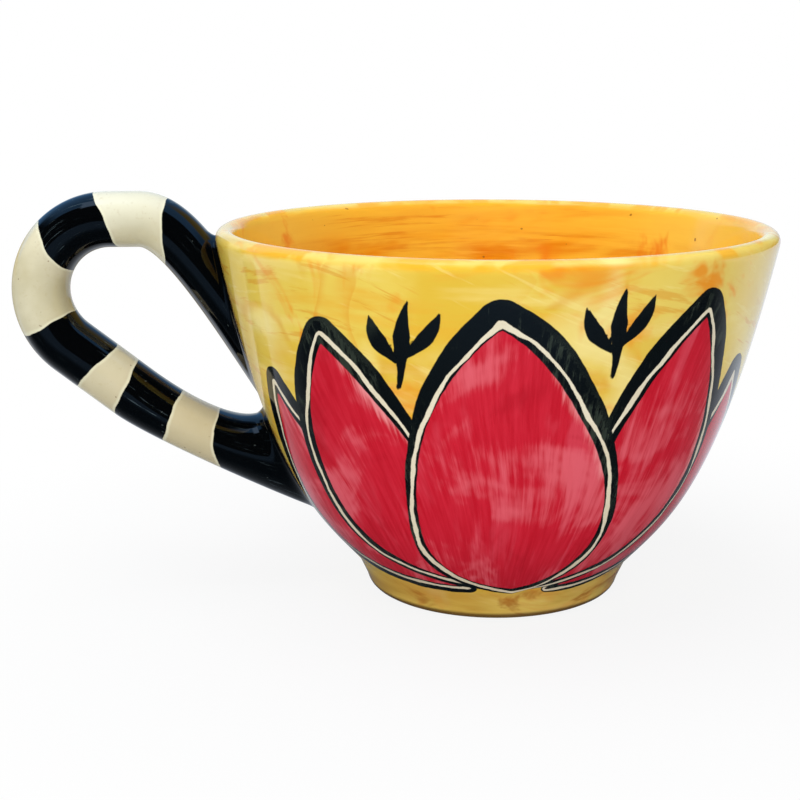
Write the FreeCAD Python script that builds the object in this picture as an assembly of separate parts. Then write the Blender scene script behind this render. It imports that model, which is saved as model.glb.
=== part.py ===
import FreeCAD, Part
import math
import os

# A wide breakfast cup of glazed earthenware: one solid, because body and handle are fired as one
# piece. Sizes are in millimetres. The cup's axis is Z, its foot rests on Z = 0, and the handle
# stands out along -X, in the XZ plane.

# Body
cup_height = 82.6  # table to the top of the lip
rim_diameter = 125.0  # outside of the lip
wall = 4.3  # clay of the bowl and the lip

# Outside of the bowl: one fair curve from the waist to the lip
waist_height = 7.4  # where the foot meets the bowl
waist_diameter = 63.0
waist_lean = 41.0  # degrees from upright at which the bowl leaves the waist
waist_pull = 14.9  # how far the curve is drawn along that lean
lip_lean = 12.0  # degrees from upright at which it reaches the lip
lip_pull = 57.0  # how far it is drawn along that one

# Foot
foot_diameter = 58.4  # outside, above its rounded edge
foot_edge_radius = 2.4
foot_ring_width = 6.5  # the flat ring that the cup rests on, with its rounded edge
recess_depth = 2.2  # under the cup, inside the ring
floor_thickness = 6.4  # clay between the recess and the drink
inside_turn_height = 20.6  # on the outside, where the inside leaves the wall for the floor

# Round loop of the handle, and the straight arm below it
loop_radius = 16.1  # of the tube's centre line
loop_offset = 23.5  # from the rim's outside to the loop's centre
handle_rise = 8.2  # top of the handle above the lip
arm_slope = 38.1  # degrees above level, going out from the bowl
arm_length = 17.1  # from the lower neck to the loop
tube_top_thickness = 12.4
tube_low_thickness = 13.2
upper_neck_offset = 17.0  # from the rim's outside to the neck above the upper root

# Roots: how far each spreads along the wall, and across it
upper_root_length = 43.6
upper_root_width = 17.0
upper_root_gap = 0.2  # left between the upper root and the rounding of the lip
lower_root_height = 29.2  # of its middle
lower_root_length = 29.6
lower_root_width = 19.0

# How long each edge of a root keeps the tube's heading, and how long it follows the wall
upper_back_run = 13.4
upper_back_sweep = 6.5
upper_palm_run = 7.5
upper_palm_sweep = 3.0
lower_back_run = 10.0
lower_back_sweep = 2.0
lower_palm_run = 22.5
lower_palm_sweep = 7.0

# Sections that the handle's skin passes through
arc_sections = 9
root_sections = 6


def at(reach, height):
    """A point of the handle's plane, at this distance from the cup's axis."""
    return FreeCAD.Vector(-reach, 0, height)


def upwards(lean):
    """The direction that leans outwards by these degrees from upright."""
    return at(math.sin(math.radians(lean)), math.cos(math.radians(lean)))


# The lip is rounded about this centre, from the outside of the wall over to its inside.
lip_centre = at(rim_diameter / 2 - wall / 2, cup_height - wall / 2)
lip_outside = lip_centre + upwards(lip_lean + 90) * (wall / 2)
lip_inside = lip_centre - upwards(lip_lean + 90) * (wall / 2)

waist = at(waist_diameter / 2, waist_height)
bowl = Part.BezierCurve()
bowl.setPoles([
    waist,
    waist + upwards(waist_lean) * waist_pull,
    lip_outside - upwards(lip_lean) * lip_pull,
    lip_outside,
])


def wall_at(height):
    """The outside of the bowl at this height, with the directions up the wall and into it."""
    level = Part.LineSegment(at(0, height), at(rim_diameter, height))
    crossing = bowl.intersectCC(level)[0]
    point = at(-crossing.X, crossing.Z)
    up = FreeCAD.Vector(bowl.tangent(bowl.parameter(point))[0])
    into = FreeCAD.Vector(up.z, 0, -up.x)
    return point, up, into


def body():
    """The bowl and its foot, turned from one outline; the recess has a side at 45 degrees."""
    floor_height = recess_depth + floor_thickness
    inside_points = [lip_inside]
    for share in (2 / 3, 1 / 3, 0):
        height = inside_turn_height + (lip_outside.z - inside_turn_height) * share
        point, up, into = wall_at(height)
        inside_points.append(point + into * wall)
    inside_points.append(at(0, floor_height))
    inside = Part.BSplineCurve()
    inside.interpolate(
        Points=inside_points,
        InitialTangent=upwards(lip_lean) * -1,
        FinalTangent=at(-1, 0),
    )
    foot_radius = foot_diameter / 2
    rest_outer = foot_radius - foot_edge_radius
    rest_inner = foot_radius - foot_ring_width
    turn = foot_edge_radius * (1 - math.sqrt(0.5))
    outline = [
        bowl,
        Part.Arc(lip_outside, lip_centre + upwards(lip_lean) * (wall / 2), lip_inside),
        inside,
        Part.LineSegment(at(0, floor_height), at(0, recess_depth)),
        Part.LineSegment(at(0, recess_depth), at(rest_inner - recess_depth, recess_depth)),
        Part.LineSegment(at(rest_inner - recess_depth, recess_depth), at(rest_inner, 0)),
        Part.LineSegment(at(rest_inner, 0), at(rest_outer, 0)),
        Part.Arc(at(rest_outer, 0), at(foot_radius - turn, turn), at(foot_radius, foot_edge_radius)),
        Part.LineSegment(at(foot_radius, foot_edge_radius), waist),
    ]
    face = Part.Face(Part.Wire([curve.toShape() for curve in outline]))
    return face.revolve(FreeCAD.Vector(0, 0, 0), FreeCAD.Vector(0, 0, 1), 360)


def section(back, palm, half_width):
    """An oval across the handle from its back edge to its palm edge."""
    centre = (back + palm) / 2
    height = (back - palm) / 2
    along = FreeCAD.Vector(0, 1, 0).cross(height).normalize()
    placing = FreeCAD.Matrix(
        height.x, 0, along.x, centre.x,
        0, half_width, 0, 0,
        height.z, 0, along.z, centre.z,
        0, 0, 0, 1,
    )
    return Part.Wire(Part.Circle().toShape()).transformGeometry(placing)


def tube_section(centre, heading, thickness):
    """Back and palm edges of the round tube, with its half width; heading runs towards the lip."""
    side = FreeCAD.Vector(-heading.z, 0, heading.x) * (thickness / 2)
    return centre + side, centre - side, thickness / 2


def root(neck, heading, wall_back, wall_palm, runs, sweeps, width):
    """The spread from a neck of the tube down to the wall, as a list of back, palm and half width.

    Each edge is a cubic curve: it leaves the neck along the tube and comes in along the wall, so
    that the clay runs out thin there. The last section lies half a wall deep in the clay.
    """
    edges = []
    for start, (point, spread, into), run, sweep in zip(neck, (wall_back, wall_palm), runs, sweeps):
        end = point + into * (wall / 2)
        edges.append(Part.BezierCurve())
        edges[-1].setPoles([start, start + heading * run, point - spread * sweep, end])
    back, palm = edges
    sections = []
    for i in range(1, root_sections + 1):
        t = i / root_sections
        grown = t * t * (3 - 2 * t)
        half_width = neck[2] * (1 - grown) + width / 2 * grown
        sections.append((back.value(t), palm.value(t), half_width))
    return sections


def skin(cuts):
    """A smooth solid through sections, each given by its back, palm and half width."""
    return Part.makeLoft([section(*cut) for cut in cuts], True, False)


def handle():
    """The loop with its lower root, and the upper root, which meet in the upper neck."""
    loop_centre = at(
        rim_diameter / 2 + loop_offset,
        cup_height + handle_rise - tube_top_thickness / 2 - loop_radius,
    )
    # The arm comes up straight and touches the loop's circle; angles run from the loop's top.
    arm_heading = upwards(90 - arm_slope)
    arm_top = loop_centre + upwards(180 - arm_slope) * loop_radius
    tube = [tube_section(arm_top - arm_heading * arm_length, arm_heading, tube_low_thickness)]
    for i in range(arc_sections):
        share = i / (arc_sections - 1)
        angle = (180 - arm_slope) * (1 - share)
        thickness = tube_low_thickness + (tube_top_thickness - tube_low_thickness) * share
        centre = loop_centre + upwards(angle) * loop_radius
        tube.append(tube_section(centre, upwards(angle - 90), thickness))
    high_neck = at(rim_diameter / 2 + upper_neck_offset, loop_centre.z + loop_radius)
    tube.append(tube_section(high_neck, FreeCAD.Vector(1, 0, 0), tube_top_thickness))

    def spread(height, direction):
        point, up, into = wall_at(height)
        return point, up * direction, into

    top = lip_outside.z - upper_root_gap
    upper = root(
        tube[-1],
        FreeCAD.Vector(1, 0, 0),
        spread(top, 1),
        spread(top - upper_root_length, -1),
        (upper_back_run, upper_palm_run),
        (upper_back_sweep, upper_palm_sweep),
        upper_root_width,
    )
    lower = root(
        tube[0],
        arm_heading * -1,
        spread(lower_root_height - lower_root_length / 2, -1),
        spread(lower_root_height + lower_root_length / 2, 1),
        (lower_back_run, lower_palm_run),
        (lower_back_sweep, lower_palm_sweep),
        lower_root_width,
    )
    return skin(lower[::-1] + tube), skin(tube[-1:] + upper)


cup = body().multiFuse(handle()).removeSplitter()
os.makedirs("parts", exist_ok=True)
cup.exportStep("parts/cup.step")
print("solids", len(cup.Solids), "valid", cup.isValid(), "volume cm3", round(cup.Volume / 1000, 1))
print("box", cup.BoundBox)
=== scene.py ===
import math
from types import SimpleNamespace

import bpy
import numpy as np
from mathutils import Matrix, Vector


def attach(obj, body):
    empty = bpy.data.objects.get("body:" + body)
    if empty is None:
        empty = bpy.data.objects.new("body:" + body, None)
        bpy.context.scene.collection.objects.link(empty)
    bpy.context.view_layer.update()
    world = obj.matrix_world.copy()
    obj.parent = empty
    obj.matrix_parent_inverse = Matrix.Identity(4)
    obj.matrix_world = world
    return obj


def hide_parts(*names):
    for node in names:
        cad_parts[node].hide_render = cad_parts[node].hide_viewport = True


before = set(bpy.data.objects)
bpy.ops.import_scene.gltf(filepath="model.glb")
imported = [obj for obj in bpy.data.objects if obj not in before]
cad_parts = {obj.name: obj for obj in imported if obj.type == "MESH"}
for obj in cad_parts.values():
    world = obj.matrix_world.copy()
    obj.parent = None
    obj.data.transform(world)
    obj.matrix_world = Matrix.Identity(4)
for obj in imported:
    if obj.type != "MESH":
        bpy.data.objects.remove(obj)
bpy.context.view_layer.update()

# A wide breakfast cup of glazed earthenware, thrown and painted by hand.
# Shapes are worked out in millimetres as (reach, height): reach is measured from the cup's axis.
# The handle stands out along -X. Paint is laid out by the angle round the cup, which is 0 on the
# side that faces -Y and grows towards +X, and by the climb up the wall from the waist.

MM = 0.001
FAR = 9.0  # a distance that counts as far from any edge, in millimetres

# Sizes of the cup, as in the part's source
cup_height = 82.6
rim_radius = 62.5
wall = 4.3
waist = np.array([31.5, 7.4])
waist_lean = 41.0
waist_pull = 14.9
lip_lean = 12.0
lip_pull = 57.0
foot_radius = 29.2
foot_edge_radius = 2.4
foot_ring_width = 6.5
recess_depth = 2.2
floor_height = 8.6
floor_pull_share = 0.4
inside_turn_height = 20.6

# Unevenness of the thrown body: the height of its waves, and how far the lip stands higher, on the
# whole and by how much more or less from side to side
wave_height = 0.14
lip_lift = 0.35
lip_lift_change = 0.45

# Sizes of the handle
loop_radius = 16.1
loop_offset = 23.5
handle_rise = 8.2
arm_slope = 38.1
arm_length = 17.1
tube_top = 12.4
tube_low = 13.2
upper_neck_offset = 17.0
upper_root_below_lip = 0.2
upper_root_length = 43.6
upper_root_width = 17.0
lower_root_height = 29.2
lower_root_length = 29.6
lower_root_width = 19.0

# Pulls of the curves that are the back and palm edges of the roots: along the tube as they leave it,
# and along the wall as they come in, where a pull is negative if the edge comes in from above
upper_root_leaves = (13.4, 7.5)
upper_root_comes_in = (6.5, -3.0)
lower_root_leaves = (10.0, 22.5)
lower_root_comes_in = (-2.0, 7.0)

# The soft hollow where a root meets the wall, and the hidden end of its skin inside the wall
hollow_width = 2.6
sunk_share = 0.98

# Rings and columns of the skins
outline_step = 0.1
body_columns = 512
handle_step = 0.6
handle_columns = 112
loop_steps = 64
root_steps = 60
neck_rings = 44
hollow_rings = 10

# Edges of the black and cream bands, in millimetres along the middle of the handle from its lower
# end: first on the outside of the loop, then on its inside
band_edges = [
    (18.1, 23.7),
    (29.5, 35.3),
    (42.9, 45.9),
    (53.9, 51.9),
    (67.1, 67.1),
    (87.6, 82.5),
    (97.8, 102.0),
    (113.0, 113.9),
]


# Curves


def upwards(degrees):
    """The direction that leans outwards by these degrees from upright, as (reach, height)."""
    a = np.radians(degrees)
    return np.stack([np.sin(a), np.cos(a)], -1)


def bezier(poles, t):
    """Cubic curve: each pole weighed by its term of (1 - t + t) cubed."""
    t = np.asarray(t, float)[..., None]
    a, b, c, d = poles
    return (1 - t) ** 3 * a + 3 * (1 - t) ** 2 * t * b + 3 * (1 - t) * t**2 * c + t**3 * d


def bezier_way(poles, t):
    """Unit direction of the cubic curve: its steps weighed by the terms of (1 - t + t) squared."""
    t = np.asarray(t, float)[..., None]
    a, b, c = np.diff(poles, axis=0)
    way = (1 - t) ** 2 * a + 2 * (1 - t) * t * b + t**2 * c
    return way / np.linalg.norm(way, axis=-1, keepdims=True)


def run_along(points):
    """Length of the path up to each of its points."""
    return np.concatenate([[0], np.cumsum(np.linalg.norm(np.diff(points, axis=0), axis=-1))])


lip_centre = np.array([rim_radius - wall / 2, cup_height - wall / 2])
lip_outside = lip_centre + upwards(lip_lean + 90) * wall / 2
bowl_poles = np.array([
    waist,
    waist + upwards(waist_lean) * waist_pull,
    lip_outside - upwards(lip_lean) * lip_pull,
    lip_outside,
])
bowl_steps = np.linspace(0, 1, 2001)
bowl_line = bezier(bowl_poles, bowl_steps)


def wall_at(height):
    """The outside of the bowl at this height, with the directions up the wall and into it."""
    t = np.interp(height, bowl_line[:, 1], bowl_steps)
    up = bezier_way(bowl_poles, t)
    return bezier(bowl_poles, t), up, np.array([-up[1], up[0]])


# Body


def cup_outline():
    """Half section of the cup as points, from the middle of its underside to the middle of its floor.

    The foot is straight lines and a quarter circle, the bowl a cubic curve, the lip half a circle.
    The inside is the bowl moved in by the wall, down to where it turns, and then a cubic curve that
    comes level at the middle. The whole line is then averaged over about a millimetre, which
    rounds its corners as the glaze does.
    """
    inner = foot_radius - foot_ring_width
    edge_centre = np.array([foot_radius - foot_edge_radius, foot_edge_radius])
    foot_edge = edge_centre + upwards(180 - np.linspace(0, 90, 12)) * foot_edge_radius
    half_turn = np.linspace(lip_lean + 90, lip_lean - 90, 24)
    lip = lip_centre + upwards(half_turn) * wall / 2
    turn = np.interp(inside_turn_height, bowl_line[:, 1], bowl_steps)
    t = np.linspace(1, turn, 120)
    up = bezier_way(bowl_poles, t)
    inside = bezier(bowl_poles, t) + np.stack([-up[:, 1], up[:, 0]], -1) * wall
    middle = np.array([0, floor_height])
    pull = np.linalg.norm(inside[-1] - middle) * floor_pull_share
    floor = bezier(
        np.array([inside[-1], inside[-1] - up[-1] * pull, middle + [pull, 0], middle]),
        np.linspace(0, 1, 60),
    )
    line = np.vstack([
        [[0, recess_depth], [inner - recess_depth, recess_depth], [inner, 0]],
        foot_edge,
        bezier(bowl_poles, np.linspace(0, 1, 200)),
        lip[1:],
        inside[1:],
        floor[1:],
    ])
    run = run_along(line)
    even = np.arange(0, run[-1], outline_step)
    line = np.stack([np.interp(even, run, line[:, i]) for i in (0, 1)], -1)
    spread = 8
    reach = 3 * spread
    weights = np.exp(-((np.arange(-reach, reach + 1) / spread) ** 2))
    weights /= weights.sum()
    ends = np.concatenate([2 * line[0] - line[reach:0:-1], line, 2 * line[-1] - line[-2 : -2 - reach : -1]])
    ends[:reach, 1] = line[0, 1]
    ends[-reach:, 1] = line[-1, 1]
    return np.stack([np.convolve(ends[:, i], weights, "valid") for i in (0, 1)], -1)


cup_line = cup_outline()
cup_run = run_along(cup_line)
lip_run = cup_run[np.argmax(cup_line[:, 1])]
waist_run = cup_run[np.argmin(np.linalg.norm(cup_line[cup_run < lip_run] - waist, axis=1))]
lip_climb = lip_run - waist_run


def on_body(angle, climb):
    """A point of the body, by the angle round the cup and the climb along the outline from the waist.

    It is the outline turned round the axis. The radius is drawn in a little, by up to four times
    the waves' height at the lip, by waves of two and three turns, and the lip stands a little
    higher at the back left, as on a cup thrown by hand.
    """
    reach = np.interp(climb + waist_run, cup_run, cup_line[:, 0])
    height = np.interp(climb + waist_run, cup_run, cup_line[:, 1])
    share = height / cup_height
    uneven = wave_height * (2 - np.cos(2 * (angle - 0.3)) - np.cos(3 * angle + 1.1)) * share**2
    radius = reach - uneven * np.minimum(1, reach / 20)
    lift = (lip_lift + lip_lift_change * np.cos(angle + 2.4)) * share**4
    return np.stack([radius * np.sin(angle), -radius * np.cos(angle), height + lift], -1)


def body_rows():
    """Climbs of the body's rings: close on the painted outside and round the lip, wide elsewhere."""
    climb = cup_run - waist_run
    gap = np.select(
        [climb < -14, climb < 1, climb < lip_climb - 4, climb < lip_climb + 4], [2.4, 0.6, 0.75, 0.5], 2.8
    )
    density = np.concatenate([[0], np.cumsum(np.diff(climb) / gap[1:])])
    return np.interp(np.linspace(0, density[-1], int(density[-1])), density, climb)


# Handle


def handle_sections():
    """Back edge, palm edge and half width of the handle, from its lower end to its upper end.

    The middle is a straight arm, a part of a circle and a short level run. Each root is two cubic
    curves, one for each edge: they leave along the tube and come in along the wall, and end half a
    wall deep in the clay. The half width goes over smoothly from the tube's to the root's.
    """
    loop = np.array([rim_radius + loop_offset, cup_height + handle_rise - tube_top / 2 - loop_radius])
    heading = upwards(90 - arm_slope)
    inwards = np.array([-1.0, 0.0])
    arm_end = loop + upwards(180 - arm_slope) * loop_radius
    back_off = arm_length * np.linspace(1, 0, int(arm_length / handle_step), endpoint=False)[:, None]
    share = np.linspace(0, 1, loop_steps, endpoint=False)
    angle = (180 - arm_slope) * (1 - share)
    top = loop + [0, loop_radius]
    level = np.array([rim_radius + upper_neck_offset, top[1]]) - top
    level_share = np.linspace(0, 1, int(np.linalg.norm(level) / handle_step))[:, None]
    middle = np.vstack([
        arm_end - heading * back_off,
        loop + upwards(angle) * loop_radius,
        top + level * level_share,
    ])
    ways = np.vstack([
        np.broadcast_to(heading, (len(back_off), 2)),
        upwards(angle - 90),
        np.broadcast_to(inwards, (len(level_share), 2)),
    ])
    half = np.concatenate([
        np.full(len(back_off), tube_low / 2),
        (tube_low + (tube_top - tube_low) * share) / 2,
        np.full(len(level_share), tube_top / 2),
    ])
    side = np.stack([ways[:, 1], -ways[:, 0]], -1) * half[:, None]
    back, palm = middle + side, middle - side

    def root(end, way, wall_heights, leaves, comes_in, width):
        t = np.linspace(0, 1, root_steps + 1)[1:]
        edges = []
        for edge, height, leave, come_in in zip((back, palm), wall_heights, leaves, comes_in):
            start = edge[end]
            point, up, into = wall_at(height)
            poles = np.array([start, start + way * leave, point - up * come_in, point + into * wall / 2])
            edges.append(bezier(poles, t))
        grown = t * t * (3 - 2 * t)
        return edges[0], edges[1], half[end] * (1 - grown) + width / 2 * grown

    top_height = lip_outside[1] - upper_root_below_lip
    upper = root(
        -1, inwards,
        (top_height, top_height - upper_root_length),
        upper_root_leaves, upper_root_comes_in, upper_root_width,
    )
    lower = root(
        0, -heading,
        (lower_root_height - lower_root_length / 2, lower_root_height + lower_root_length / 2),
        lower_root_leaves, lower_root_comes_in, lower_root_width,
    )
    return [np.concatenate([lower[i][::-1], (back, palm, half)[i], upper[i]]) for i in (0, 1, 2)]


def ovals(back, palm, half, round_angle):
    """Ovals across the handle: its middle, plus cosine times the back side, plus sine times the width."""
    middle, side = (back + palm) / 2, (back - palm) / 2
    reach = middle[:, :1] + side[:, :1] * np.cos(round_angle)
    height = middle[:, 1:] + side[:, 1:] * np.cos(round_angle)
    return np.stack([-reach, half[:, None] * np.sin(round_angle), height], -1)


def flow_into_wall(rings):
    """Rings of a root, from the neck to the wall, with a soft hollow where it meets the wall.

    Each lengthwise line of the root is followed to where it enters the wall. A quadratic curve
    leads from a place the hollow's width before it, drawn towards it, to a place on the wall the
    same width past it, square to the seam. Gives the rings, their places among the old ones, and
    the last ring on the wall as angle and climb.
    """
    x, y, z = np.moveaxis(rings, -1, 0)
    angle = np.arctan2(x, -y)
    outside = cup_run <= lip_run
    climb = np.interp(z, cup_line[outside, 1], cup_run[outside] - waist_run)
    gap = np.hypot(x, y) - np.hypot(*np.moveaxis(on_body(angle, climb), -1, 0)[:2])
    gap = np.where(z > cup_height, FAR, gap)
    last = np.argmax(gap < 0, axis=0)
    columns = np.arange(rings.shape[1])
    before, after = gap[last - 1, columns], gap[last, columns]
    enter = last - 1 + before / (before - after)

    def at_place(places, values):
        low = np.clip(np.floor(places).astype(int), 0, len(values) - 2)
        part = places - low
        if values.ndim == 3:
            part = part[..., None]
        return values[low, columns] * (1 - part) + values[low + 1, columns] * part

    length = np.linalg.norm(rings[last, columns] - rings[last - 1, columns], axis=-1)
    leave = np.maximum(enter - hollow_width / length, 1.0)
    places = np.linspace(0, 1, neck_rings)[1:, None] * leave
    neck = at_place(places, rings)
    seam_angle, seam_climb = at_place(enter, angle), at_place(enter, climb)
    seam = on_body(seam_angle, seam_climb)
    reach = np.hypot(seam[:, 0], seam[:, 1]).mean()
    flat = np.stack([seam_angle * reach, seam_climb], -1)
    along = np.roll(flat, -1, 0) - np.roll(flat, 1, 0)
    outwards = np.stack([along[:, 1], -along[:, 0]], -1)
    outwards /= np.linalg.norm(outwards, axis=-1, keepdims=True)
    if np.sum(outwards * (flat - flat.mean(0))) < 0:
        outwards = -outwards
    rim = flat + outwards * hollow_width
    edge = on_body(rim[:, 0] / reach, rim[:, 1])
    u = np.linspace(0, 1, hollow_rings)[1:, None, None]
    hollow = (1 - u) ** 2 * neck[-1] + 2 * u * (1 - u) * seam + u**2 * edge
    sunk = edge * [sunk_share, sunk_share, 1.0]
    at_seam = np.broadcast_to(enter, (hollow_rings, len(columns)))
    return (
        np.concatenate([rings[:1], neck, hollow, sunk[None]]),
        np.concatenate([[np.zeros(len(columns))], places, at_seam]),
        rim / [reach, 1.0],
    )


def handle_grid():
    """The handle's rings, how far along it each point lies, the angles round it, and both rims on the
    wall."""
    back, palm, half = handle_sections()
    round_angle = np.linspace(-np.pi, np.pi, handle_columns, endpoint=False)[None]
    rings = ovals(back, palm, half, round_angle)
    run = run_along((back + palm) / 2)
    necks = root_steps, len(run) - root_steps - 1
    low, low_places, low_rim = flow_into_wall(rings[necks[0] :: -1])
    high, high_places, high_rim = flow_into_wall(rings[necks[1] :])
    steps = np.arange(len(run))
    along = np.concatenate([
        np.interp(necks[0] - low_places[:0:-1], steps, run),
        np.broadcast_to(run[necks[0] : necks[1], None], (necks[1] - necks[0], handle_columns)),
        np.interp(necks[1] + high_places, steps, run),
    ])
    points = np.concatenate([low[:0:-1], rings[necks[0] : necks[1]], high])
    return points, along, round_angle, (low_rim, high_rim)


# Meshes


def add_object(name, data):
    thing = bpy.data.objects.new(name, data)
    bpy.context.scene.collection.objects.link(thing)
    return thing


def skin(name, points, marks):
    """A closed mesh through a grid of points in millimetres; each row is a ring, and both end rings
    are closed by a fan to their middle. marks are values for each point of the grid."""
    rows, columns = points.shape[:2]
    ends = points[[0, -1]].mean(1)
    places = np.vstack([points.reshape(-1, 3), ends]) * MM
    here = np.arange(rows * columns).reshape(rows, columns)
    after = np.roll(here, -1, 1)
    quads = np.stack([here[:-1], after[:-1], after[1:], here[1:]], -1).reshape(-1, 4)
    low, high = rows * columns, rows * columns + 1
    fans = np.concatenate([
        np.stack([after[0], here[0], np.full(columns, low)], -1),
        np.stack([here[-1], after[-1], np.full(columns, high)], -1),
    ])
    a, b, c = places[quads[:, 0]], places[quads[:, 1]], places[quads[:, 2]]
    if np.einsum("ij,ij->", a, np.cross(b, c)) < 0:
        quads, fans = quads[:, ::-1], fans[:, ::-1]
    loops = np.concatenate([quads.ravel(), fans.ravel()])
    starts = np.concatenate([np.arange(len(quads)) * 4, len(quads) * 4 + np.arange(len(fans)) * 3])
    mesh = bpy.data.meshes.new(name)
    mesh.vertices.add(len(places))
    mesh.vertices.foreach_set("co", places.ravel())
    mesh.loops.add(len(loops))
    mesh.loops.foreach_set("vertex_index", loops.astype(np.int32))
    mesh.polygons.add(len(starts))
    mesh.polygons.foreach_set("loop_start", starts.astype(np.int32))
    mesh.update(calc_edges=True)
    mesh.validate()
    mesh.shade_smooth()
    for mark, values in marks.items():
        values = np.broadcast_to(values, (rows, columns)).astype(np.float32)
        values = np.concatenate([values.ravel(), [values[0].mean(), values[-1].mean()]]).astype(np.float32)
        mesh.attributes.new(mark, "FLOAT", "POINT").data.foreach_set("value", values)
    return add_object(name, mesh)


# Painting on the bowl


def drawn(*poles, steps=22):
    """Points along cubic curves that follow one another; each starts where the one before ends."""
    line = [np.array([poles[0]], float)]
    for i in range(0, len(poles) - 1, 3):
        line.append(bezier(np.array(poles[i : i + 4], float), np.linspace(0, 1, steps + 1)[1:]))
    return np.vstack(line)


def near(x, y, line, closed=True, reach=11.0):
    """Signed distance from points to a drawn line, and the share of its length at the nearest place.

    The distance is the least of those to the line's straight pieces. For a closed line it is
    negative inside, which is where a level ray crosses the line an odd number of times. For an open
    one it is negative on the right of the nearest piece.
    """
    low, high = line.min(0) - reach, line.max(0) + reach
    here = (x > low[0]) & (x < high[0]) & (y > low[1]) & (y < high[1])
    px, py = x[here], y[here]
    best, place, negative = np.full(px.shape, 1e6), np.zeros(px.shape), np.zeros(px.shape, bool)
    run = run_along(line)
    for (ax, ay), (bx, by), start in zip(line[:-1], line[1:], run):
        dx, dy = bx - ax, by - ay
        length = math.hypot(dx, dy) + 1e-9
        t = np.clip(((px - ax) * dx + (py - ay) * dy) / length**2, 0, 1)
        away = np.hypot(px - ax - t * dx, py - ay - t * dy)
        closer = away < best
        best = np.where(closer, away, best)
        place = np.where(closer, (start + t * length) / run[-1], place)
        if closed:
            negative ^= ((ay > py) != (by > py)) & (px < dx * (py - ay) / (dy + 1e-9) + ax)
        else:
            negative = np.where(closer, dx * (py - ay) < dy * (px - ax), negative)
    distance, share = np.full(x.shape, reach), np.zeros(x.shape)
    distance[here] = np.minimum(np.where(negative, -best, best), reach)
    share[here] = place
    return distance, share


def width_along(share, half_widths):
    """Half width of a brush stroke at a share of its length, by straight lines between even places."""
    return np.interp(share, np.linspace(0, 1, len(half_widths)), half_widths)


# Petals of the big open flower, from the one in front to those behind: the closed line of each as
# cubic curves from the foot over the tip and back, and the half widths of its outline along it
flower = {
    "front": [
        (((1, 1.5), (-27, 5), (-31, 44), (-6, 71), (16, 60), (32, 12), (1, 1.5)),
         (1.1, 1.2, 1.1, 1.5, 2.6, 3.1, 2.6, 1.5, 1.3, 1.1)),
    ],
    "side": [
        (((-3, 3), (-33, 5), (-58, 33), (-43, 66), (-31, 58), (-13, 38), (-3, 3)),
         (1.2, 1.4, 1.5, 2.0, 2.7, 2.5, 1.6, 1.0, 1.2)),
        (((4, 3), (10, 34), (22, 58), (39, 70), (55, 44), (38, 6), (4, 3)),
         (1.2, 1.0, 1.8, 2.9, 2.8, 1.8, 1.3, 1.4, 1.2)),
    ],
    "outer": [
        (((-8, 1.5), (-36, -1), (-67, 17), (-59, 53), (-50, 44), (-30, 25), (-8, 1.5)),
         (1.3, 1.8, 1.9, 2.2, 2.4, 1.8, 1.2, 1.3)),
        (((9, 1.5), (30, 24), (47, 42), (56, 55), (69, 25), (38, -1), (9, 1.5)),
         (1.3, 1.2, 1.8, 2.5, 2.2, 1.8, 1.7, 1.3)),
    ],
}
bud = {
    "front": [
        (((-1, 34), (-14, 37), (-12, 58), (0, 71), (10, 61), (14, 40), (-1, 34)),
         (0.8, 0.9, 1.3, 2.1, 2.3, 1.7, 1.0, 0.8)),
    ],
    "side": [
        (((1, 35), (11, 38), (22, 50), (16, 65), (10, 64), (3, 50), (1, 35)),
         (0.8, 0.9, 1.5, 2.0, 1.4, 0.9, 0.8)),
    ],
}
# Single strokes, by their middle line and the half widths along it: leaves with a scratched rib, a
# stem, and the sprigs that rise between the petals' tips
leaves = [
    (((0, 9), (-6, 11), (-10.5, 20), (-8.5, 34)), (0.4, 1.5, 2.4, 2.2, 1.2, 0.2)),
    (((0.5, 13), (6, 15), (10.5, 24), (9.5, 39)), (0.4, 1.5, 2.4, 2.2, 1.2, 0.2)),
]
stem = (((0, -1), (3, 12), (-4, 22), (0, 35)), (1.6, 1.0, 0.8, 1.0, 1.7))
sprig = [
    (((0, -1), (1.2, 5), (-1.2, 10), (0.6, 17)), (0.5, 0.8, 1.3, 1.8, 1.1, 0.2)),
    (((-0.3, 4), (-2, 6.5), (-6, 8), (-7, 14)), (0.4, 1.1, 1.7, 1.3, 0.2)),
    (((0.4, 5), (2.2, 7.5), (5.6, 9), (7, 15)), (0.4, 1.1, 1.7, 1.3, 0.2)),
]
sprig_places = [(-24.5, 57.0), (17.0, 60.0)]
# Where the flowers and the bud stand, in degrees round the cup, with 1, or -1 for turned over, and
# the seed of their sway
flower_places = [(3, 1, 1.0), (184, -1, 8.0)]
bud_place = (94, 1, 15.0)

# A petal's outline runs from this far inside the petal's edge to its full width less this outside
outline_inset = 0.9
# How far inside that outline's outer side the brush marks still count as the petal's own
sweep_inset = 0.7
# How far below the petal's foot the sweep of its brush marks turns
sweep_pivot = 34.0
# Climb from which the marks of the painting are worked out
painted_from = -9.0


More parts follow.
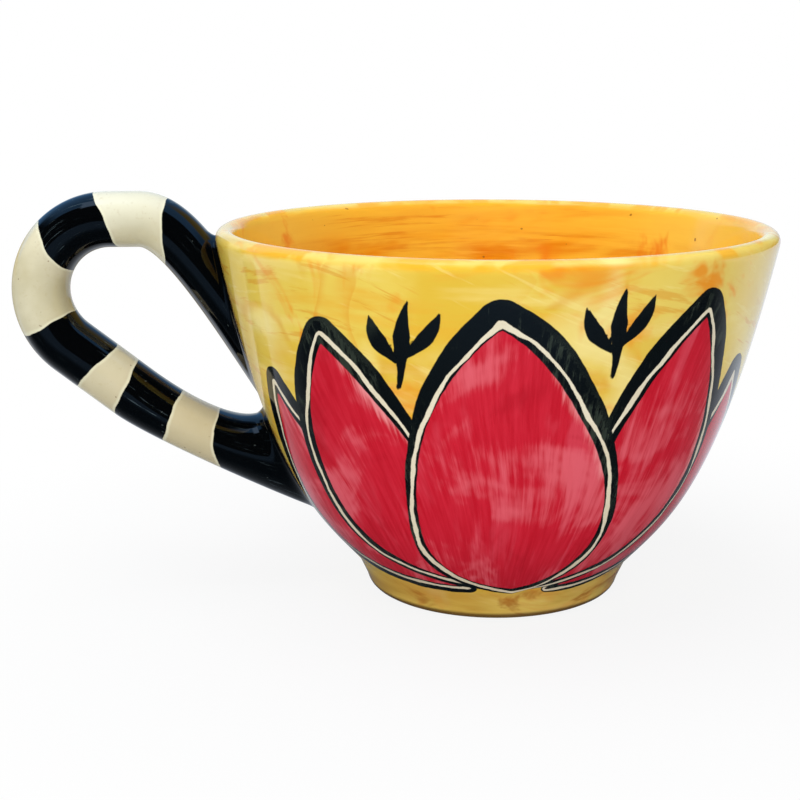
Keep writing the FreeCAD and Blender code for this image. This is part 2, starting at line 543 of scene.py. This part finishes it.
def painting(angle, climb, radius, rims):
    """Marks of the painting, mostly signed distances in millimetres that are negative inside.

    A big open flower faces front and another back, and between them, away from the handle, stands
    a bud with two leaves. Each motif is drawn on its own flat patch: x is the radius times the
    angle from its middle, y is the climb, and both sway a little. edge is the distance to a petal
    and brush the half width of its outline, for each depth of petals. sweep runs across and along
    the brush marks, as the angle and the distance from a point below the petal's foot, and blush is
    strongest about two thirds of the way round the petal's edge. The black of the handle's roots
    ends a little outside their rims on the wall.
    """
    marks = {}
    for depth in flower:
        marks["edge_" + depth] = np.full(radius.shape, FAR)
        marks["brush_" + depth] = np.full(radius.shape, 1.0)
    for name in ("ink", "rib", "root"):
        marks[name] = np.full(radius.shape, FAR)
    for name in ("sweep_x", "sweep_y", "blush"):
        marks[name] = np.zeros(radius.shape)

    def patch(degrees, flip, seed):
        turn = (angle - math.radians(degrees) + np.pi) % (2 * np.pi) - np.pi
        x = radius * turn * flip
        return x + 0.6 * np.sin(climb / 8.0 + seed), climb + 0.6 * np.sin(x / 9.0 + seed)

    def petals(x, y, motif, seed):
        for depth in ("outer", "side", "front"):
            for poles, half_widths in motif.get(depth, ()):
                line = drawn(*poles)
                away, share = near(x, y, line)
                half = width_along(share, half_widths)
                nearest = away < marks["edge_" + depth]
                marks["edge_" + depth] = np.where(nearest, away, marks["edge_" + depth])
                marks["brush_" + depth] = np.where(nearest, half, marks["brush_" + depth])
                seed += 1
                pivot = line[0] - [0, sweep_pivot]
                blush = np.exp(-(((share - 0.66) / 0.16) ** 2)) * np.clip(1 + away / 6.5, 0, 1)
                own = {
                    "sweep_x": np.arctan2(x - pivot[0], y - pivot[1]) * 50 + seed * 70,
                    "sweep_y": np.hypot(x - pivot[0], y - pivot[1]) + seed * 90,
                    "blush": blush,
                }
                over = away < 2 * half - (outline_inset + sweep_inset)
                for name, values in own.items():
                    marks[name] = np.where(over, values, marks[name])

    def stroke(x, y, poles, half_widths):
        away, share = near(x, y, drawn(*poles), closed=False)
        edge = np.abs(away) - width_along(share, half_widths)
        marks["ink"] = np.minimum(marks["ink"], edge)
        return away, edge

    for place in flower_places:
        x, y = patch(*place)
        petals(x, y, flower, place[-1])
        for sprig_x, sprig_y in sprig_places:
            for twig in sprig:
                stroke(x - sprig_x, y - sprig_y, *twig)
    x, y = patch(*bud_place)
    petals(x, y, bud, bud_place[-1])
    stroke(x, y, *stem)
    for leaf in leaves:
        away, edge = stroke(x, y, *leaf)
        marks["rib"] = np.where(edge < 0.8, away, marks["rib"])

    for rim in rims:
        flat_reach = rim_radius * 0.9
        line = np.vstack([rim, rim[:1]]) * [flat_reach, 1.0]
        away, share = near(angle * flat_reach + 0 * climb, climb + 0 * angle, line, reach=14.0)
        marks["root"] = np.minimum(marks["root"], away - 0.5 - 0.3 * np.sin(share * 31))
    return marks


def bands(along, round_angle):
    """Signed distance to the handle's black bands, negative on black, which is also where it starts.

    Each edge goes over from its place on the outside of the loop to the one on its inside as
    (1 - cosine) / 2 of the angle round the tube, with a small wave of the brush.
    """
    mark = np.full(along.shape, -99.0)
    sign = 1.0
    share = (1 - np.cos(round_angle)) / 2
    for i, (outside, inside) in enumerate(band_edges):
        wave = 0.22 * np.sin(3 * round_angle + i * 2.1) + 0.08 * np.sin(8 * round_angle + i)
        past = along - (outside * (1 - share) + inside * share + wave)
        mark = np.where(past > 0, sign * past, np.where(np.abs(past) < np.abs(mark), sign * past, mark))
        sign = -sign
    return mark


# Shader maths


class Value:
    """A shader socket; Python's operators on it add Math nodes."""

    def __init__(self, shader, socket):
        self.shader = shader
        self.socket = socket

    def math(self, operation, *terms):
        return self.shader.node("ShaderNodeMath", {"operation": operation}, dict(enumerate(terms)))

    def __add__(self, other):
        return self.math("ADD", self, other)

    __radd__ = __add__

    def __sub__(self, other):
        return self.math("SUBTRACT", self, other)

    def __rsub__(self, other):
        return self.math("SUBTRACT", other, self)

    def __mul__(self, other):
        return self.math("MULTIPLY", self, other)

    __rmul__ = __mul__


class Shader:
    """A node tree with one method for its nodes and a few for what the finishes share."""

    def __init__(self, tree):
        self.tree = tree
        tree.nodes.clear()

    def node(self, kind, settings=(), sockets=(), output=0):
        """One node: its settings first, then the values or links of its sockets; gives one output."""
        node = self.tree.nodes.new(kind)
        for name, value in dict(settings).items():
            setattr(node, name, value)
        for name, value in dict(sockets).items():
            if isinstance(value, Value):
                self.tree.links.new(value.socket, node.inputs[name])
            else:
                node.inputs[name].default_value = value
        return Value(self, node.outputs[output]) if node.outputs else None

    def mark(self, name):
        return self.node("ShaderNodeAttribute", {"attribute_name": name}, output="Fac")

    def place(self):
        return self.node("ShaderNodeTexCoord", output="Object")

    def ray(self, kind):
        return self.node("ShaderNodeLightPath", output="Is " + kind + " Ray")

    def split(self, vector, axis):
        return self.node("ShaderNodeSeparateXYZ", (), {0: vector}, axis)

    def vector(self, x, y, z):
        return self.node("ShaderNodeCombineXYZ", (), {0: x, 1: y, 2: z})

    def stretch(self, vector, x, y, z):
        return self.node("ShaderNodeVectorMath", {"operation": "MULTIPLY"}, {0: vector, 1: (x, y, z)})

    def shift(self, vector, other):
        return self.node("ShaderNodeVectorMath", {"operation": "ADD"}, {0: vector, 1: other})

    def noise(self, vector, scale, detail, rough=0.5, warp=0.0):
        return self.node(
            "ShaderNodeTexNoise",
            (),
            {"Vector": vector, "Scale": scale, "Detail": detail, "Roughness": rough, "Distortion": warp},
        )

    def absolute(self, value):
        return value.math("ABSOLUTE", value)

    def largest(self, one, other):
        return one.math("MAXIMUM", one, other)

    def step(self, value, low, high):
        """0 below low, 1 above high, smooth between; turned over where low is above high."""
        return self.node(
            "ShaderNodeMapRange", {"interpolation_type": "SMOOTHSTEP"}, {0: value, 1: low, 2: high}
        )

    def blend(self, factor, under, over):
        return self.node("ShaderNodeMix", {"data_type": "RGBA"}, {0: factor, 6: under, 7: over}, 2)

    def coats(self, colour, *coats):
        """A colour under coats of paint: each is how far it covers and its own colour."""
        for cover, paint in coats:
            colour = self.blend(cover, colour, paint)
        return colour

    def relief(self, height, depth):
        return self.node("ShaderNodeBump", (), {"Strength": 0.25, "Distance": depth, "Height": height})

    def glow(self, colour):
        return self.node("ShaderNodeEmission", (), {"Color": colour, "Strength": 1.0})

    def clear_gloss(self, colour, rough, relief):
        """Paint under a clear glaze, as the surface of the material."""
        looks = {"Base Color": colour, "Roughness": rough, "Normal": relief, "IOR": 1.5}
        surface = self.node("ShaderNodeBsdfPrincipled", (), looks)
        self.node("ShaderNodeOutputMaterial", (), {"Surface": surface})


def new_material(name):
    material = bpy.data.materials.new(name)
    material.use_nodes = True
    return material, Shader(material.node_tree)


def srgb(red, green, blue):
    """A colour as seen on screen, from 0 to 255, as the shader's own numbers."""
    c = np.array([red, green, blue]) / 255
    c = np.where(c <= 0.04045, c / 12.92, ((c + 0.055) / 1.055) ** 2.4)
    return (float(c[0]), float(c[1]), float(c[2]), 1.0)


# Finishes


def bowl_noise(s):
    """Where a point of the bowl lies, and the clouds of noise that its paints share."""
    place = s.place()
    return SimpleNamespace(
        place=place,
        across=s.split(place, 0),
        height=s.split(place, 2),
        fine=s.noise(place, 170.0, 4.0, 0.6),
        grain=s.noise(place, 700.0, 3.0, 0.6),
        pools=s.noise(place, 34.0, 4.0, 0.55, 0.3),
        curls=s.noise(place, 24.0, 2.5, 0.5, 1.1),
        level=s.noise(s.stretch(place, 26.0, 26.0, 170.0), 1.0, 4.0, 0.55, 0.2),
    )


def yellow_ground(s, here):
    """Yellow of the outside: paler where the glaze pooled, and paler towards the side away from the handle
    as painted light.

    It is brushed level below the lip, and all over in fine slanting hairs, which are noise drawn out
    along a slant that bends a little. Ochre tide lines run round the curls and along one side of
    the drifts. There are orange touches, and the foot is duller, with brown blots.
    """
    bend = s.noise(here.place, 14.0, 0.0) * 14.0
    slant = here.height * 460.0 + here.across * 150.0 + bend
    hairs = s.noise(s.vector(here.across * 44.0, s.split(here.place, 1) * 44.0, slant), 1.0, 4.0, 0.65)
    tide = s.step(s.absolute(here.curls - 0.545 + (here.fine - 0.5) * 0.05), 0.05, 0.0)
    drift = s.noise(s.shift(here.place, (0.6, 0.2, 0.1)), 30.0, 2.0, 0.5, 0.8) + (here.fine - 0.5) * 0.03
    shore = s.step(drift, 0.520, 0.530) * s.step(drift, 0.600, 0.530)
    touches = s.step(s.noise(s.shift(here.place, (0.31, 0.07, 0.2)), 34.0, 4.0, 0.65, 1.0), 0.52, 0.64)
    # Painted shade of the handle on the wall round its roots, together with orange-brown brush streaks
    # there: darker ochre within a few millimetres of the roots' black.
    shade_and_streaks_by_root = s.step(s.mark("root") + (here.pools - 0.5) * 7.0, 5.5, 0.5)
    foot = s.step(here.height, 0.0088, 0.0062)
    blots = s.step(s.noise(s.stretch(here.place, 46.0, 46.0, 110.0), 1.0, 4.0, 0.6, 0.6), 0.55, 0.66)
    return s.coats(
        srgb(226, 186, 58),
        (s.step(here.pools, 0.35, 0.65), srgb(233, 203, 88)),
        (s.step(here.level, 0.50, 0.72) * 0.55, srgb(243, 220, 132)),
        (s.step(here.level, 0.46, 0.30) * s.step(here.height, 0.050, 0.082) * 0.65, srgb(232, 170, 46)),
        (s.step(here.curls, 0.54, 0.68) * 0.70, srgb(243, 226, 150)),
        # Painted light: the side away from the handle is made paler, a painted sheen on that side of the
        # bowl.
        (s.step(here.across, 0.0, 0.06) * 0.4, srgb(240, 224, 142)),
        (s.step(hairs, 0.42, 0.34) * 0.3, srgb(246, 228, 146)),
        (s.step(hairs, 0.56, 0.64) * s.step(here.pools, 0.38, 0.56) * 0.5, srgb(220, 146, 38)),
        (tide * s.step(here.level, 0.42, 0.60) * 0.45, srgb(220, 154, 36)),
        (shore * s.step(here.pools, 0.42, 0.60) * 0.4, srgb(226, 152, 44)),
        (touches * 0.85, srgb(236, 142, 28)),
        (shade_and_streaks_by_root * 0.7, srgb(206, 144, 46)),
        # The foot's duller, darker ochre is partly its own glaze and partly painted shade low on the cup,
        # below the flaring bowl.
        (foot * 0.6, srgb(216, 184, 98)),
        (foot * s.step(here.level, 0.58, 0.35) * 0.6, srgb(186, 134, 44)),
        (foot * s.step(here.curls, 0.50, 0.62) * 0.5, srgb(218, 186, 116)),
        (foot * blots * 0.75, srgb(166, 92, 22)),
    )


def orange_inside(s, here):
    """Orange of the inside, in level streaks and threads, paler towards the lip and at both sides,
    with a few deeper drops and dark specks."""
    streak = s.noise(s.stretch(here.place, 16.0, 16.0, 230.0), 1.0, 5.0, 0.6, 0.3)
    broad = s.noise(s.shift(s.stretch(here.place, 26.0, 26.0, 70.0), (3.3, 1.7, 0.4)), 1.0, 3.0, 0.55, 0.9)
    brushed = broad + (streak - 0.5) * 0.4
    near_lip = s.step(here.height + (broad - 0.5) * 0.05 + (streak - 0.5) * 0.03, 0.064, 0.081)
    threads = s.noise(s.stretch(here.place, 24.0, 24.0, 520.0), 1.0, 4.0, 0.6, 0.4)
    high_up = s.step(here.height + (broad - 0.5) * 0.02, 0.062, 0.078)
    # Painted light: the inside is paler high up at both sides, lit inner walls painted into the orange.
    painted_light_at_sides = s.step(s.absolute(here.across), 0.030, 0.056) * high_up
    drops = s.step(s.noise(s.shift(here.place, (0.2, 0.9, 0.4)), 38.0, 4.0, 0.65, 0.6), 0.56, 0.68)
    specks = s.step(s.noise(here.place, 520.0, 1.0, 0.4), 0.775, 0.79)
    return s.coats(
        srgb(226, 130, 2),
        (s.step(streak, 0.38, 0.60), srgb(238, 154, 6)),
        (s.step(brushed, 0.52, 0.64) * 0.75, srgb(240, 174, 34)),
        (s.step(brushed, 0.46, 0.34) * 0.8, srgb(230, 108, 0)),
        (near_lip * 0.65, srgb(248, 200, 66)),
        (s.step(threads, 0.53, 0.62) * s.step(here.pools, 0.40, 0.58) * 0.5, srgb(214, 104, 4)),
        (s.step(threads, 0.45, 0.36) * s.step(here.pools, 0.58, 0.42) * 0.5, srgb(252, 196, 62)),
        (painted_light_at_sides * 0.85, srgb(252, 214, 84)),
        (drops * 0.6, srgb(234, 100, 2)),
        (specks * 0.7, srgb(120, 70, 20)),
    )


def petal_crimson(s, stroke):
    """Crimson of the petals: long bristle marks, a rosy haze and a pale side where the brush ran dry."""
    bristle = s.noise(s.stretch(stroke, 1.5, 0.06, 1.0), 1.0, 4.0, 0.65)
    swath = s.noise(s.stretch(stroke, 0.22, 0.035, 1.0), 1.0, 3.0, 0.55, 0.6)
    haze = s.noise(s.stretch(stroke, 0.075, 0.05, 1.0), 1.0, 3.0, 0.55, 0.5)
    rosy = s.step(haze + (bristle - 0.5) * 0.30 + (swath - 0.5) * 0.25, 0.50, 0.68)
    pale = s.step(s.mark("blush") + (bristle - 0.5) * 0.9 + (haze - 0.5) * 0.5, 0.55, 0.95)
    return s.coats(
        srgb(191, 22, 40),
        (s.step(bristle, 0.32, 0.68), srgb(204, 36, 54)),
        (s.step(swath, 0.50, 0.70) * 0.65, srgb(216, 72, 88)),
        (rosy * 0.62, srgb(228, 108, 118)),
        (s.step(haze + (bristle - 0.5) * 0.2, 0.42, 0.28) * 0.6, srgb(176, 18, 34)),
        (pale * 0.7, srgb(240, 158, 158)),
    )


def petals_and_lines(s, here, colour):
    """The painting over a colour: crimson, near-black outlines that turn grey-green where the brush
    ran dry, and the clay's cream in the lines scratched through them.

    Each is laid where its signed distance, shaken by fine noise, is below zero, from the petals
    behind to those in front, so that each covers what lies under it.
    """
    stroke = s.vector(s.mark("sweep_x"), s.mark("sweep_y"), 0.0)
    crimson = petal_crimson(s, stroke)
    dry = s.noise(s.stretch(stroke, 1.3, 0.11, 1.0), 1.0, 4.0, 0.7)
    dry = s.step(dry + (here.pools - 0.5) * 0.7, 0.50, 0.66)
    black = s.blend(dry * 0.65, srgb(10, 14, 15), srgb(58, 66, 56))
    cream = s.blend(here.fine, srgb(214, 200, 168), srgb(240, 232, 208))
    ragged = (here.fine - 0.5) * 0.9 + (here.grain - 0.5) * 0.35
    wander = (s.noise(here.place, 46.0, 2.0, 0.5) - 0.5) * 4.4
    swell = (s.noise(here.place, 90.0, 2.0, 0.5) - 0.5) * 0.7
    for depth in ("outer", "side", "front"):
        edge = s.mark("edge_" + depth)
        past = edge + outline_inset - s.mark("brush_" + depth) * 2.0
        outline = s.largest(-outline_inset - edge, past)
        line = s.absolute(edge - 0.35 - wander) - 0.42 + swell
        colour = s.coats(
            colour,
            (s.step(edge + ragged, 0.2, -0.2), crimson),
            (s.step(outline + ragged * 0.45 + swell, 0.12, -0.12), black),
            (s.step(line + ragged * 0.75, 0.10, -0.10), cream),
        )
    return s.coats(
        colour,
        (s.step(s.mark("ink") + ragged * 0.45, 0.12, -0.12), black),
        (s.step(s.absolute(s.mark("rib")) - 0.38 + swell, 0.12, -0.12), cream),
        (s.step(s.mark("root") + ragged * 0.4, 0.12, -0.12), black),
    )


def bowl_finish():
    """The painted bowl, from its ground to the pale lip and the ring of bare clay that it stands on.

    The glaze runs thin and pale over the lip's edge, with golden dabs; the pale there is partly a
    painted highlight on the lip's rounded top. A thin dark line marks where it ends above the bare
    ring. Noise in object coordinates makes all the unevenness.
    """
    material, s = new_material("painted_bowl_glaze")
    here = bowl_noise(s)
    colour = s.blend(s.mark("inside"), yellow_ground(s, here), orange_inside(s, here))
    colour = petals_and_lines(s, here, colour)
    lip = s.mark("lip")
    # Pale over the lip: the glaze runs thin there, and the pale is partly a painted highlight on the lip's
    # rounded top.
    thin_glaze_and_highlight_mask = s.step(lip + (here.pools - 0.5) * 0.9, 0.35, 0.75)
    thin_glaze_and_highlight_colour = s.blend(s.step(here.curls, 0.50, 0.60), srgb(232, 206, 106), srgb(242, 228, 140))
    dabs = s.step(s.noise(s.shift(here.place, (0.31, 0.07, 0.2)), 42.0, 3.0, 0.6, 1.2), 0.45, 0.55)
    bare = s.step(here.height, 0.0006, 0.0003)
    colour = s.coats(
        colour,
        (thin_glaze_and_highlight_mask * 0.85, thin_glaze_and_highlight_colour),
        (dabs * s.step(lip, 0.15, 0.6) * 0.8, srgb(240, 172, 36)),
        (s.step(here.height, 0.0021, 0.0012) * 0.85, srgb(96, 66, 32)),
        (bare, s.blend(here.grain, srgb(206, 184, 150), srgb(226, 206, 174))),
    )
    relief = s.relief(s.noise(here.place, 70.0, 3.0, 0.5), 0.0003)
    s.clear_gloss(colour, bare * 0.7 + here.fine * 0.06 + 0.06, relief)
    return material


def handle_finish():
    """Near-black and cream bands under the same gloss, with fine scratches, mottling and pinholes.

    The scratches are noise drawn out along the handle; the pinholes are the rare high spots of a
    fine noise. The cream is darker low down as painted shade, paler at the top as painted light,
    and paler along the bands' edges.
    """
    material, s = new_material("banded_handle_glaze")
    place = s.place()
    height = s.split(place, 2)
    fine = s.noise(place, 240.0, 4.0, 0.6)
    grain = s.noise(place, 900.0, 3.0, 0.6)
    mottle = s.noise(place, 46.0, 4.0, 0.6)
    pinholes = s.step(s.noise(place, 980.0, 0.0, 0.4), 0.83, 0.86)
    drawn_out = s.vector(s.mark("round_x"), s.mark("round_y"), s.mark("along") * 0.05)
    scratches = s.noise(drawn_out, 1.9, 4.0, 0.7)
    cream = s.coats(
        srgb(190, 181, 146),
        (s.step(mottle, 0.3, 0.7), srgb(214, 207, 178)),
        # Painted shade and light: the cream is darker low on the handle and paler at its top, as light from
        # above falls on it.
        (s.step(height, 0.066, 0.036) * 0.8, srgb(188, 174, 138)),
        (s.step(height, 0.080, 0.089) * 0.8, srgb(221, 220, 199)),
        (s.step(grain, 0.55, 0.8) * 0.35, srgb(182, 166, 126)),
        (s.step(s.mark("band"), 0.9, 0.3) * 0.5, srgb(228, 226, 198)),
        (pinholes * 0.6, srgb(120, 100, 72)),
    )
    black = s.coats(
        srgb(3, 4, 5),
        (s.step(scratches, 0.60, 0.70) * s.step(mottle, 0.42, 0.62) * 0.6, srgb(74, 88, 92)),
        (pinholes * 0.5, srgb(70, 78, 76)),
    )
    band = s.step(s.mark("band") + (fine - 0.5) * 0.45 + (grain - 0.5) * 0.2, 0.1, -0.1)
    relief = s.relief(s.noise(place, 60.0, 3.0, 0.5), 0.0004)
    s.clear_gloss(s.blend(band, cream, black), fine * 0.04 + 0.03, relief)
    return material


# The cup


def cup_handle():
    """The handle, and its rims on the wall."""
    points, along, round_angle, rims = handle_grid()
    radius = (tube_top + tube_low) / 4
    handle = skin("cup_handle", points, {
        "band": bands(along, round_angle),
        "along": along,
        "round_x": radius * np.sin(round_angle),
        "round_y": radius * np.cos(round_angle),
    })
    handle.data.materials.append(handle_finish())
    return handle, rims


def cup_body(rims):
    """The body. Its painting is worked out for the rings of the outside, and the first and the last
    of them give the marks of the rest."""
    climb = body_rows()[:, None]
    angle = np.linspace(-np.pi, np.pi, body_columns, endpoint=False)[None]
    points = on_body(angle, climb)
    painted = (climb[:, 0] > painted_from) & (climb[:, 0] < lip_climb)
    radius = np.hypot(points[painted][..., 0], points[painted][..., 1])
    first, last = np.argmax(painted), np.argmax(painted[::-1])
    marks = painting(angle, climb[painted], radius, rims)
    marks = {name: np.pad(values, ((first, last), (0, 0)), mode="edge") for name, values in marks.items()}
    marks["inside"] = np.clip((climb - lip_climb - 1.0) / 3.0 + 0.5, 0, 1)
    marks["lip"] = np.exp(-(((climb - lip_climb + 0.5) / 2.6) ** 2))
    body = skin("cup_body", points, marks)
    body.data.materials.append(bowl_finish())
    return body


handle, rims = cup_handle()
body = cup_body(rims)
for piece in (body, handle):
    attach(piece, "root")
    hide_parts("cup")


# Studio


def studio_floor():
    """A plain pale floor that the camera sees nearly white, with the cup's soft shadow left on it.

    The camera sees it less white the nearer it is to the cup. What it adds to the gloss is bright
    behind the cup, dim in front of it, and warm and dim behind it on the left.
    """
    mesh = bpy.data.meshes.new("studio_floor")
    mesh.from_pydata([(-3, -3, 0), (3, -3, 0), (3, 3, 0), (-3, 3, 0)], [], [(0, 1, 2, 3)])
    floor = add_object("studio_floor", mesh)
    material, s = new_material("pale_floor")
    place = s.place()
    away = s.node("ShaderNodeVectorMath", {"operation": "LENGTH"}, {0: place}, "Value")
    across = s.split(place, 0)
    ahead = s.split(place, 1)
    matt = s.node("ShaderNodeBsdfDiffuse", (), {"Color": (0.62, 0.64, 0.66, 1)})
    mirrored = s.coats(
        (0.015, 0.028, 0.042, 1),
        (s.step(ahead, -0.08, -0.20), (0.10, 0.17, 0.27, 1)),
        (s.step(ahead, -0.03, 0.10), (0.84, 0.90, 1.0, 1)),
        (s.step(across, -0.02, -0.10) * s.step(ahead, 0.08, 0.16) * 0.75, (0.30, 0.24, 0.10, 1)),
    )
    whiteness = s.ray("Camera") * (s.step(away, 0.05, 0.17) * 0.12 + 0.88)
    shown = s.node("ShaderNodeMixShader", (), {0: whiteness, 1: matt, 2: s.glow((1, 1, 1, 1))})
    shown = s.node("ShaderNodeMixShader", (), {0: s.ray("Glossy"), 1: shown, 2: s.glow(mirrored)})
    s.node("ShaderNodeOutputMaterial", (), {"Surface": shown})
    mesh.materials.append(material)


def studio_room():
    """Soft even light from all round.

    The gloss shows a pale room behind the cup, darkness where the camera stands, a dim ceiling with
    one window in it, and warm light at both sides.
    """
    world = bpy.data.worlds.new("studio")
    world.use_nodes = True
    bpy.context.scene.world = world
    s = Shader(world.node_tree)
    way = s.node("ShaderNodeTexCoord", output="Generated")
    across = s.split(way, 0)
    ahead = s.split(way, 1)
    up = s.split(way, 2)
    ceiling = s.step(up * 0.4 + ahead, 0.02, 0.06) * s.step(up, 0.1, 0.3)
    ceiling = ceiling * s.step(s.absolute(across), 0.85, 0.65)
    window = s.step(across, -0.16, -0.20) * s.step(across, -0.46, -0.42) * s.step(up, 0.6, 0.7)
    window = window * s.step(ahead, -0.42, -0.38) * s.step(ahead, 0.02, -0.02)
    warm = s.largest(s.step(across, 0.30, 0.55), s.step(across, -0.30, -0.55) * s.step(up, 0.16, 0.10))
    room = s.coats(
        (0.004, 0.005, 0.008, 1),
        (s.step(ahead, 0.30, 0.45), (0.20, 0.46, 0.90, 1)),
        (ceiling, (0.17, 0.42, 0.82, 1)),
        (s.step(ahead, 0.84, 0.96), (0.74, 0.87, 1.0, 1)),
        (window, (0.8, 1.2, 1.8, 1)),
        (warm * s.step(ahead, 0.18, 0.36), (0.50, 0.36, 0.09, 1)),
    )
    colour = s.coats((0.45, 0.46, 0.47, 1), (s.ray("Glossy"), room), (s.ray("Camera"), (1, 1, 1, 1)))
    background = s.node("ShaderNodeBackground", (), {"Color": colour, "Strength": 1.0})
    s.node("ShaderNodeOutputWorld", (), {"Surface": background})


def studio_lamp(name, place, target, size, power):
    """A soft rectangular lamp that faces its target and doesn't show in the gloss."""
    light = bpy.data.lights.new(name, "AREA")
    light.shape = "RECTANGLE"
    light.size, light.size_y = size
    light.energy = power
    rig = add_object(name, light)
    way = Vector(target) - Vector(place)
    rig.matrix_world = Matrix.Translation(place) @ way.to_track_quat("-Z", "Y").to_matrix().to_4x4()
    rig.visible_glossy = False


def studio_camera(lens=64.71, place=(-0.0213, -0.32208, 0.1162), degrees_down=12.855, roll=-0.00708):
    """The photograph's view. The lens is in millimetres, and the roll is in radians."""
    camera = bpy.data.cameras.new("camera")
    camera.lens = lens
    camera.sensor_width = 36.0
    camera.clip_start = 0.01
    rig = add_object("camera", camera)
    tilt = Matrix.Rotation(math.radians(90 - degrees_down), 4, "X")
    rig.matrix_world = Matrix.Translation(place) @ tilt @ Matrix.Rotation(roll, 4, "Z")
    bpy.context.scene.camera = rig


studio_floor()
studio_room()
studio_lamp("softbox_above", (-0.2, -0.1, 1.0), (0, 0, 0.05), (0.7, 0.7), 7)
studio_lamp("front_fill", (-0.15, -1.3, 0.6), (0, 0, 0.04), (1.2, 0.6), 8)
studio_lamp("low_fill", (-0.1, -1.2, 0.12), (0, 0, 0.04), (1.4, 0.2), 3)
studio_camera()
bpy.context.scene.view_settings.view_transform = "Standard"
